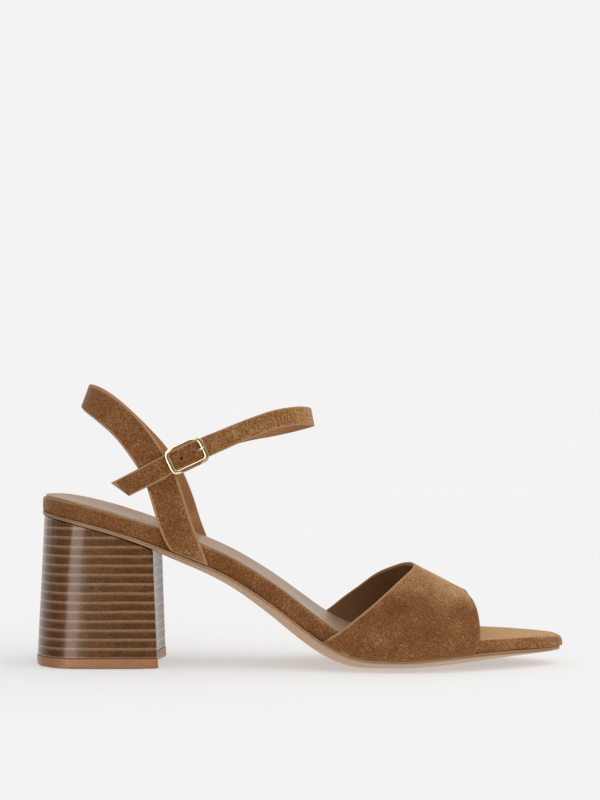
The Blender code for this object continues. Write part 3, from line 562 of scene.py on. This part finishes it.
def stacked_heel(name):
    """Dark glossy layers with grain along them and thin pale lines between them."""
    tints = colours()
    measure = sizes()
    material, tree, shader, place = start_material(name)
    split = add_node(tree, "ShaderNodeSeparateXYZ")
    tree.links.new(place, split.inputs[0])
    drawn = remap(tree, noise(tree, place, 60.0, 2.0), 0.3, 0.7, -1.0, 1.0)
    waver = maths(tree, "MULTIPLY", drawn, 0.10 * MM)
    height = maths(tree, "SUBTRACT", maths(tree, "ADD", split.outputs["Z"], waver), measure.stack_start)
    layer = maths(tree, "DIVIDE", height, measure.stack_pitch)
    share = maths(tree, "FRACT", layer)
    line = maths(tree, "MULTIPLY", remap(tree, share, *LINE_RISE), remap(tree, share, *LINE_END))
    along = add_node(tree, "ShaderNodeMapping")
    along.inputs["Scale"].default_value = (1.0, 1.0, 2.2)
    tree.links.new(place, along.inputs["Vector"])
    grain = noise(tree, along.outputs["Vector"], 900.0, 3.0, 0.7)
    drift = noise(tree, along.outputs["Vector"], 120.0, 3.0, 0.6)
    speck = maths(tree, "ADD", remap(tree, grain, 0.35, 0.70),
                  remap(tree, drift, 0.35, 0.75, -0.25, 0.25))
    body = mix(tree, speck, four(tints.heel_dark), four(tints.heel_light))
    along_line = remap(tree, noise(tree, place, 420.0), 0.25, 0.65, 0.7, 1.0)
    lined = mix(tree, along_line, body, four(tints.heel_line))
    colour = mix(tree, line, body, lined)
    tree.links.new(colour, shader.inputs["Base Color"])
    tree.links.new(remap(tree, grain, 0.3, 0.7, 0.34, 0.44), shader.inputs["Roughness"])
    shader.inputs["Specular IOR Level"].default_value = 0.2
    shader.inputs["Coat Weight"].default_value = 0.45
    shader.inputs["Coat Roughness"].default_value = 0.14
    tall = maths(tree, "ADD", maths(tree, "MULTIPLY", line, 0.5), maths(tree, "MULTIPLY", grain, 0.12))
    add_bump(tree, shader, tall, 0.18, 0.12 * MM)
    return material


def gold_metal(name, roughness, gold=None):
    """Polished pale gold, a little uneven."""
    gold = gold or tuple(colours().gold)
    material, tree, shader, place = start_material(name)
    wear = noise(tree, place, 400.0, 3.0, 0.6)
    slow = noise(tree, place, 160.0, 2.0, 0.5)
    deeper = tuple(0.86 * part for part in gold)
    warm = mix(tree, remap(tree, slow, 0.35, 0.7), four(gold), four(deeper))
    tree.links.new(warm, shader.inputs["Base Color"])
    tree.links.new(remap(tree, wear, 0.3, 0.75, roughness, roughness + 0.05), shader.inputs["Roughness"])
    shader.inputs["Metallic"].default_value = 0.85
    return material


# Pieces

def select_only(item):
    if bpy.context.object and bpy.context.object.mode != "OBJECT":
        bpy.ops.object.mode_set(mode="OBJECT")
    bpy.ops.object.select_all(action="DESELECT")
    item.select_set(True)
    bpy.context.view_layer.objects.active = item


def skin(node, name):
    """A merged copy of a CAD node's mesh, ready to be finished."""
    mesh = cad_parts[node].data.copy()
    mesh.materials.clear()
    item = bpy.data.objects.new(name, mesh)
    bpy.context.scene.collection.objects.link(item)
    select_only(item)
    bpy.ops.object.mode_set(mode="EDIT")
    bpy.ops.mesh.select_all(action="SELECT")
    bpy.ops.mesh.remove_doubles(threshold=MERGE_DISTANCE)
    bpy.ops.mesh.tris_convert_to_quads(
        face_threshold=math.radians(FLAT_ANGLE), shape_threshold=math.radians(SHAPE_ANGLE))
    bpy.ops.object.mode_set(mode="OBJECT")
    return item


def paint(item, materials, pick=None):
    """Gives the faces their materials by where they lie and face."""
    for material in materials:
        item.data.materials.append(material)
    if pick:
        for face in item.data.polygons:
            face.material_index = pick(face)


def open_selection(item, kind):
    """Edit mode with nothing selected; returns the mesh being edited."""
    select_only(item)
    bpy.ops.object.mode_set(mode="EDIT")
    bpy.ops.mesh.select_mode(type=kind)
    bpy.ops.mesh.select_all(action="DESELECT")
    return bmesh.from_edit_mesh(item.data)


def mark_holes(item, largest=25.0 * MM * MM):
    """Gives the rim faces of small closed rings, the strap's holes, their own material, which paints them
    dark as shade.
    """
    work = bmesh.new()
    work.from_mesh(item.data)
    left = {face for face in work.faces if face.material_index == RIM}
    while left:
        ring = [left.pop()]
        for face in ring:
            for edge in face.edges:
                for near in edge.link_faces:
                    if near in left:
                        left.remove(near)
                        ring.append(near)
        if sum(face.calc_area() for face in ring) < largest:
            for face in ring:
                face.material_index = HOLE
    work.to_mesh(item.data)
    work.free()


def is_rim(edge):
    """An edge between a strap's cut rim and its suede face or lining."""
    slots = {face.material_index for face in edge.link_faces}
    return len(slots) == 2 and RIM in slots and HOLE not in slots


def round_rims(item, width, shortest=0.8 * MM):
    """Rounds the long edges between a strap's faces and its cut rim."""
    work = open_selection(item, "EDGE")
    for edge in work.edges:
        if is_rim(edge) and edge.calc_length() > shortest:
            edge.select_set(True)
    bmesh.update_edit_mesh(item.data)
    bpy.ops.mesh.bevel(offset=width, segments=2, clamp_overlap=False, material=RIM)
    bpy.ops.object.mode_set(mode="OBJECT")


def round_corners(item, width, angle=CORNER_ANGLE):
    """Rounds all edges sharper than an angle in degrees."""
    work = open_selection(item, "EDGE")
    for edge in work.edges:
        if len(edge.link_faces) == 2 and math.degrees(edge.calc_face_angle(0.0)) > angle:
            edge.select_set(True)
    bmesh.update_edit_mesh(item.data)
    bpy.ops.mesh.bevel(offset=width, segments=2, clamp_overlap=True)
    bpy.ops.object.mode_set(mode="OBJECT")


def refine(item, crease_angle=SHARP_ANGLE):
    """Subdivision that keeps what is still sharp."""
    select_only(item)
    work = bmesh.new()
    work.from_mesh(item.data)
    creases = work.edges.layers.float.new("crease_edge")
    for edge in work.edges:
        if len(edge.link_faces) == 2 and math.degrees(edge.calc_face_angle(0.0)) > crease_angle:
            edge[creases] = 1.0
    work.to_mesh(item.data)
    work.free()
    finer = item.modifiers.new("finer", "SUBSURF")
    finer.levels = 1
    finer.render_levels = 1
    bpy.ops.object.modifier_apply(modifier=finer.name)
    bpy.ops.object.shade_smooth_by_angle(angle=math.radians(SMOOTH_ANGLE))


def measure_from_edge(item, keep=None, reach=6.0 * MM, step=0.5 * MM):
    """Stores each point's distance from the suede's nearest edge, for the pale line and the raw rim."""
    work = bmesh.new()
    work.from_mesh(item.data)
    marks = []
    for edge in work.edges:
        first, last = (corner.co for corner in edge.verts)
        at_suede = is_rim(edge) and any(face.material_index == FACE for face in edge.link_faces)
        if at_suede and (keep is None or keep(first.lerp(last, 0.5))):
            count = max(1, math.ceil((last - first).length / step))
            marks += [first.lerp(last, number / count) for number in range(count + 1)]
    work.free()
    tree = KDTree(len(marks))
    for number, mark in enumerate(marks):
        tree.insert(mark, number)
    tree.balance()
    values = [min(reach, tree.find(point.co)[2]) for point in item.data.vertices]
    away = item.data.attributes.new(EDGE_ATTRIBUTE, "FLOAT", "POINT")
    away.data.foreach_set("value", values)


def shift_faces(item, facing, offset, least=0.5):
    """Moves the points of the faces that look up (1) or down (-1), to close a gap."""
    work = open_selection(item, "FACE")
    for face in work.faces:
        face.select_set(face.normal.z * facing > least)
    bmesh.update_edit_mesh(item.data)
    bpy.ops.transform.translate(value=(0.0, 0.0, offset))
    bpy.ops.object.mode_set(mode="OBJECT")


def stand_for(item, node):
    """Lets the finished piece stand for its CAD node."""
    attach(item, "root")
    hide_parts(node)


def sock_pick(face):
    return 0 if face.normal.z > 0.6 else 1


# Upright faces take the brown edge, painted shade under the footbed's rim
def outsole_pick(face):
    return 1 if abs(face.normal.z) < 0.45 else 0


def from_arch(place):
    """The way out from the middle of the arch under the vamp."""
    return Vector((0.0, place.y, place.z - ARCH_HEIGHT)).normalized()


def vamp_pick(face):
    """Outer suede, inner lining and cut edges, by the way a face looks from the middle of the arch."""
    facing = from_arch(face.center).dot(face.normal)
    if facing > FACE_LEAST:
        return FACE
    return LINING if facing < -VAMP_LINING_LEAST else RIM


def strap_pick(face):
    """The same for the sling and the ankle strap, from the middle line of the leg."""
    centre = face.center
    middle = Vector((min(max(centre.x, LEG_BACK), LEG_FRONT), 0.0, centre.z))
    facing = (centre - middle).normalized().dot(face.normal)
    if facing > FACE_LEAST:
        return FACE
    return LINING if facing < -LINING_LEAST else RIM


class SANDAL_OT_outsole(bpy.types.Operator):
    """Finish the outsole: tan underside and darker upright edge, whose brown is painted shade under the
    footbed's rim
    """
    bl_idname = "sandal.outsole"
    bl_label = "Outsole"

    def execute(self, context):
        tints = colours()
        item = skin("outsole", "outsole_skin")
        base = plain("tan outsole", tints.outsole, 0.55, 700.0, 0.10, 0.30, 0.4, tread=True)
        edge = plain("outsole edge", tints.outsole_edge_shade, 0.50, 900.0, 0.10, 0.20, 0.4)
        # Painted shade in the pressed line
        groove = plain("outsole groove", tints.groove, 0.6, 900.0, 0.10, 0.20, 0.3)
        paint(item, (base, edge, groove), outsole_pick)
        round_corners(item, sizes().sole_edge)
        self.cut_groove(item)
        refine(item)
        stand_for(item, "outsole")
        return {"FINISHED"}

    def cut_groove(self, item):
        """A fine line pressed into the upright edge, all round but short of the toe."""
        work = open_selection(item, "FACE")
        for face in work.faces:
            upright = face.material_index == 1 and abs(face.normal.z) < 0.3
            face.select_set(upright and face.calc_center_median().x < sizes().groove_end)
        bmesh.update_edit_mesh(item.data)
        bpy.ops.mesh.inset(thickness=sizes().groove_margin, use_even_offset=False)
        bpy.ops.transform.shrink_fatten(value=-sizes().groove_depth)
        item.active_material_index = 2
        bpy.ops.object.material_slot_assign()
        bpy.ops.object.mode_set(mode="OBJECT")


class SANDAL_OT_footbed(bpy.types.Operator):
    """Finish the suede wrapped footbed"""
    bl_idname = "sandal.footbed"
    bl_label = "Footbed"

    def execute(self, context):
        item = skin("footbed", "footbed_wrap")
        # Painted light: the footbed is lighter on top and towards the toe
        paint(item, (suede("footbed suede", 0.70, (0.16, 0.150, 0.185)),))
        shift_faces(item, -1, -sizes().hidden_gap, 0.7)
        round_corners(item, sizes().sole_edge)
        refine(item)
        stand_for(item, "footbed")
        return {"FINISHED"}


class SANDAL_OT_sock(bpy.types.Operator):
    """Finish the smooth sock and its cut edge"""
    bl_idname = "sandal.sock"
    bl_label = "Sock"

    def execute(self, context):
        tints = colours()
        item = skin("insole_sock", "sock_sheet")
        top = plain("taupe sock", tints.sock, 0.45, 1100.0, 0.08, 0.12, 0.22)
        # Painted shade on the seat and at the waist
        self.paint_sock_shade(top, tints.sock, tints.sock_shaded_brown)
        edge = plain("sock edge", tints.sock_edge, 0.6, 900.0, 0.08, 0.2, 0.3)
        paint(item, (top, edge), sock_pick)
        select_only(item)
        bpy.ops.object.mode_set(mode="EDIT")
        bpy.ops.mesh.select_all(action="SELECT")
        bpy.ops.transform.translate(value=(0.0, 0.0, -sizes().hidden_gap))
        bpy.ops.object.mode_set(mode="OBJECT")
        refine(item)
        stand_for(item, "insole_sock")
        return {"FINISHED"}

    def paint_sock_shade(self, material, taupe, brown):
        """Painted shade: lets the taupe drift to brown at the marks."""
        tree = material.node_tree
        grain = next(node for node in tree.nodes if node.type == "GROUP")
        place = next(node for node in tree.nodes if node.type == "TEX_COORD").outputs["Object"]
        colour = mix(tree, soft_marks(tree, place, SOCK_PAINTED_SHADE), four(taupe), four(brown))
        tree.links.new(colour, grain.inputs["Base"])


class SANDAL_OT_vamp(bpy.types.Operator):
    """Finish the vamp: suede outside, dark lining inside, pale cut edges"""
    bl_idname = "sandal.vamp"
    bl_label = "Vamp strap"

    def execute(self, context):
        tints = colours()
        item = skin("vamp_strap", "vamp_band")
        lining = plain("vamp lining", tints.vamp_lining, 0.55, 1000.0, 0.10, 0.2, 0.35)
        edge = cut_edge("vamp edge", tints.vamp_lining)
        shift_faces(item, -1, -sizes().hidden_gap, 0.8)
        # Painted light on top and towards the toe, and the vamp's painted shade
        outside = suede("vamp suede", 0.42, (0.05, 0.125, 0.165), sizes().rolled_line, 0.95, VAMP_PAINTED_SHADE)
        paint(item, (outside, lining, edge), vamp_pick)
        round_rims(item, sizes().strap_edge)
        refine(item)
        self.press_troughs(item)
        measure_from_edge(item, self.is_free_edge)
        stand_for(item, "vamp_strap")
        return {"FINISHED"}

    def is_free_edge(self, place):
        """True on the rolled rear edge, above the edge that is lasted under the footbed."""
        foot = REAR_FOOT if place.x < FOOT_TURN else FRONT_FOOT
        return place.z > foot and place.x < ROLLED_END

    def press_troughs(self, item):
        """Soft troughs where the suede gives a little, as deep inside as outside."""
        for point in item.data.vertices:
            inward = -from_arch(point.co)
            for start, end, width, depth in VAMP_TROUGHS:
                first, last = MM * Vector(start), MM * Vector(end)
                span = last - first
                share = min(1.0, max(0.0, (point.co - first).dot(span) / span.length_squared))
                away = (point.co - first.lerp(last, share)).length / (width * MM)
                point.co += inward * depth * MM * math.exp(-away * away)


class SANDAL_OT_straps(bpy.types.Operator):
    """Finish the sling and the ankle strap"""
    bl_idname = "sandal.straps"
    bl_label = "Sling and ankle strap"

    def execute(self, context):
        tints = colours()
        item = skin("heel_and_ankle_strap", "sling_and_ankle_band")
        lining = plain("strap lining", tints.strap_lining, 0.6, 1000.0, 0.08, 0.2, 0.3)
        edge = cut_edge("strap edge", tints.strap_lining)
        # Painted shade in the strap's holes
        hole = plain("strap hole", tints.hole, 0.9)
        # Painted light: the straps are lighter on top and along the ankle strap in front of the sling
        outside = suede("strap suede", 0.3, (0.27, 0.030, 0.075), sizes().pale_line)
        paint(item, (outside, lining, edge, hole), strap_pick)
        mark_holes(item)
        round_rims(item, sizes().strap_edge)
        refine(item)
        measure_from_edge(item)
        stand_for(item, "heel_and_ankle_strap")
        return {"FINISHED"}


class SANDAL_OT_stitches(bpy.types.Operator):
    """Sew the ankle strap's inner end to the sling with a box of stitches"""
    bl_idname = "sandal.stitches"
    bl_label = "Stitches"

    def execute(self, context):
        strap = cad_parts["heel_and_ankle_strap"]
        corners = [strap.matrix_world @ point.co for point in strap.data.vertices]
        surface = BVHTree.FromPolygons(corners, [tuple(face.vertices) for face in strap.data.polygons])
        item = bpy.data.objects.new("inner_seam_stitches", bpy.data.meshes.new("inner_seam_stitches"))
        context.scene.collection.objects.link(item)
        select_only(item)
        bpy.ops.object.mode_set(mode="EDIT")
        box = [SEAM_CENTRE + SEAM_ALONG * along * SEAM_HALF_LENGTH + SEAM_ACROSS * across * SEAM_HALF_WIDTH
               for along, across in ((-1, -1), (1, -1), (1, 1), (-1, 1))]
        for first, last in zip(box, box[1:] + box[:1]):
            count = round((last - first).length / (1.4 * sizes().stitch_length))
            for number in range(count):
                self.sew(surface, first.lerp(last, (number + 0.5) / count), (last - first).normalized())
        bpy.ops.object.mode_set(mode="OBJECT")
        bpy.ops.object.shade_smooth()
        item.data.materials.append(plain("sewing thread", colours().thread, 0.8, 2600.0, 0.05, 0.4, 0.2))
        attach(item, "root")
        return {"FINISHED"}

    def sew(self, surface, place, along):
        """One stitch, half sunk in the strap's outside."""
        beside = Vector((place.x, SEAM_BESIDE, place.z))
        hit, normal = surface.ray_cast(beside, Vector((0.0, -1.0, 0.0)))[:2]
        if hit is None:
            raise RuntimeError("No strap under a stitch")
        turn = along.cross(normal).cross(normal).to_track_quat("X", "Z").to_euler()
        bpy.ops.mesh.primitive_uv_sphere_add(
            segments=10, ring_count=6, radius=1.0, location=hit, rotation=turn,
            scale=(0.5 * sizes().stitch_length, sizes().stitch_radius, sizes().stitch_radius))


class SANDAL_OT_heel(bpy.types.Operator):
    """Finish the stacked heel and its tip"""
    bl_idname = "sandal.heel"
    bl_label = "Heel and tip"

    def execute(self, context):
        block = skin("heel_block", "heel_stack")
        paint(block, (stacked_heel("stacked heel"),))
        shift_faces(block, 1, sizes().hidden_gap)
        round_corners(block, sizes().sole_edge)
        refine(block)
        stand_for(block, "heel_block")
        tip = skin("heel_tip", "heel_tip_pad")
        paint(tip, (plain("tan heel tip", colours().heel_tip, 0.45, 800.0, 0.08, 0.2, 0.45),))
        round_corners(tip, sizes().sole_edge)
        refine(tip)
        stand_for(tip, "heel_tip")
        return {"FINISHED"}


class SANDAL_OT_buckle(bpy.types.Operator):
    """Finish the gold buckle frame and its prong"""
    bl_idname = "sandal.buckle"
    bl_label = "Buckle"

    def execute(self, context):
        item = skin("buckle_frame", "buckle_ring")
        # Painted reflection on the frame's flat face
        face = gold_metal("gold frame face", 0.40, tuple(colours().gold_dark_reflection))
        round_corners(item, sizes().metal_edge, CHAMFER_ANGLE)
        paint(item, (gold_metal("gold frame", 0.30), face), self.flat_pick)
        refine(item, METAL_SHARP_ANGLE)
        stand_for(item, "buckle_frame")
        prong = skin("buckle_prong", "buckle_pin")
        paint(prong, (gold_metal("gold prong", 0.45),))
        refine(prong, METAL_SHARP_ANGLE)
        stand_for(prong, "buckle_prong")
        return {"FINISHED"}

    def flat_pick(self, face):
        """The browner flat face between the bright rounded edges, a painted reflection of the dark
        surroundings.
        """
        return 1 if face.normal.y < -0.96 else 0


class SANDAL_OT_stage(bpy.types.Operator):
    """Set up the pale floor, the soft light and the camera"""
    bl_idname = "sandal.stage"
    bl_label = "Stage"

    def execute(self, context):
        bpy.ops.object.select_all(action="DESELECT")
        self.lay_floor()
        self.light(context.scene)
        self.camera(context.scene)
        return {"FINISHED"}

    def lay_floor(self):
        bpy.ops.mesh.primitive_plane_add(size=FLOOR_SIZE, location=(0.1, 0.0, -FLOOR_DROP))
        floor = bpy.context.object
        floor.name = "studio_floor"
        bpy.ops.object.transform_apply(location=True, rotation=True, scale=True)
        material, tree, shader, place = start_material("studio floor")
        drift = remap(tree, noise(tree, place, 3.0), 0.3, 0.7, 0.0, 0.02)
        shade = mix(tree, drift, four(colours().floor), four(linear(*FLOOR_PALER)))
        tree.links.new(shade, shader.inputs["Base Color"])
        shader.inputs["Roughness"].default_value = 0.9
        shader.inputs["Specular IOR Level"].default_value = 0.0
        shader.inputs["Emission Color"].default_value = (1.0, 1.0, 1.0, 1.0)
        shader.inputs["Emission Strength"].default_value = studio().floor_glow
        rays = add_node(tree, "ShaderNodeLightPath").outputs
        clear = add_node(tree, "ShaderNodeBsdfTransparent")
        seen = add_node(tree, "ShaderNodeMixShader")
        tree.links.new(rays["Is Glossy Ray"], seen.inputs[0])
        tree.links.new(shader.outputs[0], seen.inputs[1])
        tree.links.new(clear.outputs[0], seen.inputs[2])
        tree.links.new(seen.outputs[0], tree.nodes["Material Output"].inputs["Surface"])
        floor.data.materials.append(material)

    def light(self, scene):
        world = bpy.data.worlds.new("studio")
        world.use_nodes = True
        tree = world.node_tree
        back = tree.nodes["Background"]
        split = add_node(tree, "ShaderNodeSeparateXYZ")
        tree.links.new(add_node(tree, "ShaderNodeTexCoord").outputs["Generated"], split.inputs[0])
        away = maths(tree, "MULTIPLY", split.outputs["Y"], -1.0)
        left = maths(tree, "MULTIPLY", split.outputs["X"], -1.0)
        turn = maths(tree, "ARCTAN2", left, away)
        off = maths(tree, "ABSOLUTE", maths(tree, "SUBTRACT", turn, studio().band_place))
        band = remap(tree, off, 0.5 * studio().band_width, 0.2 * studio().band_width, 0.0, studio().band)
        level = remap(tree, maths(tree, "ABSOLUTE", split.outputs["Z"]), 0.75, 0.45)
        above = remap(tree, split.outputs["Z"], 0.0, 0.9, 0.0, studio().top)
        below = remap(tree, split.outputs["Z"], -0.3, -0.8, 0.0, studio().below)
        behind = remap(tree, split.outputs["Y"], -0.2, 0.9, 0.0, studio().behind)
        side = remap(tree, left, 0.3, 1.0, 0.0, studio().side)
        mirrored = maths(tree, "MULTIPLY_ADD", band, level, studio().front)
        for part in (above, below, behind, side):
            mirrored = maths(tree, "ADD", mirrored, part)
        low, high = studio().fill - studio().tilt, studio().fill + studio().tilt
        even = remap(tree, split.outputs["X"], -1.0, 1.0, low, high)
        rays = add_node(tree, "ShaderNodeLightPath").outputs
        glow = mix(tree, rays["Is Glossy Ray"], even, mirrored)
        shown = mix(tree, rays["Is Camera Ray"], glow, four([studio().backdrop] * 3))
        tree.links.new(shown, back.inputs["Color"])
        scene.world = world
        data = bpy.data.lights.new("key light", "SUN")
        data.energy = studio().key
        data.angle = math.radians(KEY_SPREAD)
        lamp = bpy.data.objects.new("key light", data)
        scene.collection.objects.link(lamp)
        lamp.location = KEY_PLACE
        aim = Vector(KEY_AIM) - Vector(KEY_PLACE)
        lamp.rotation_euler = aim.to_track_quat("-Z", "Y").to_euler()

    def camera(self, scene):
        data = bpy.data.cameras.new("camera")
        data.lens = studio().lens
        data.sensor_width = SENSOR_WIDTH
        data.sensor_fit = "AUTO"
        data.clip_start = CLIP_START
        data.clip_end = CLIP_END
        camera = bpy.data.objects.new("camera", data)
        scene.collection.objects.link(camera)
        camera.location = studio().camera_place
        camera.rotation_euler = (0.5 * math.pi, 0.0, studio().camera_turn)
        scene.camera = camera
        scene.view_settings.view_transform = "Standard"
        scene.view_settings.look = "None"


class SANDAL_PT_panel(bpy.types.Panel):
    """The sandal's pieces, in the order in which they are finished"""
    bl_idname = "SANDAL_PT_panel"
    bl_label = "Block heel sandal"
    bl_space_type = "VIEW_3D"
    bl_region_type = "UI"
    bl_category = "Sandal"

    def draw(self, context):
        for operator in OPERATORS:
            self.layout.operator(operator.bl_idname)


OPERATORS = (SANDAL_OT_stage, SANDAL_OT_outsole, SANDAL_OT_footbed, SANDAL_OT_sock, SANDAL_OT_vamp,
             SANDAL_OT_straps, SANDAL_OT_stitches, SANDAL_OT_heel, SANDAL_OT_buckle)
CLASSES = (SandalSizes, SandalColours, SandalStudio, *OPERATORS, SANDAL_PT_panel)


def register():
    for kind in CLASSES:
        bpy.utils.register_class(kind)
    bpy.types.Scene.sandal_sizes = bpy.props.PointerProperty(type=SandalSizes)
    bpy.types.Scene.sandal_colours = bpy.props.PointerProperty(type=SandalColours)
    bpy.types.Scene.sandal_studio = bpy.props.PointerProperty(type=SandalStudio)


def unregister():
    del bpy.types.Scene.sandal_studio
    del bpy.types.Scene.sandal_colours
    del bpy.types.Scene.sandal_sizes
    for kind in reversed(CLASSES):
        bpy.utils.unregister_class(kind)


def main():
    register()
    bpy.ops.sandal.stage()
    bpy.ops.sandal.outsole()
    bpy.ops.sandal.footbed()
    bpy.ops.sandal.sock()
    bpy.ops.sandal.vamp()
    bpy.ops.sandal.straps()
    bpy.ops.sandal.stitches()
    bpy.ops.sandal.heel()
    bpy.ops.sandal.buckle()


if __name__ == "__main__":
    main()
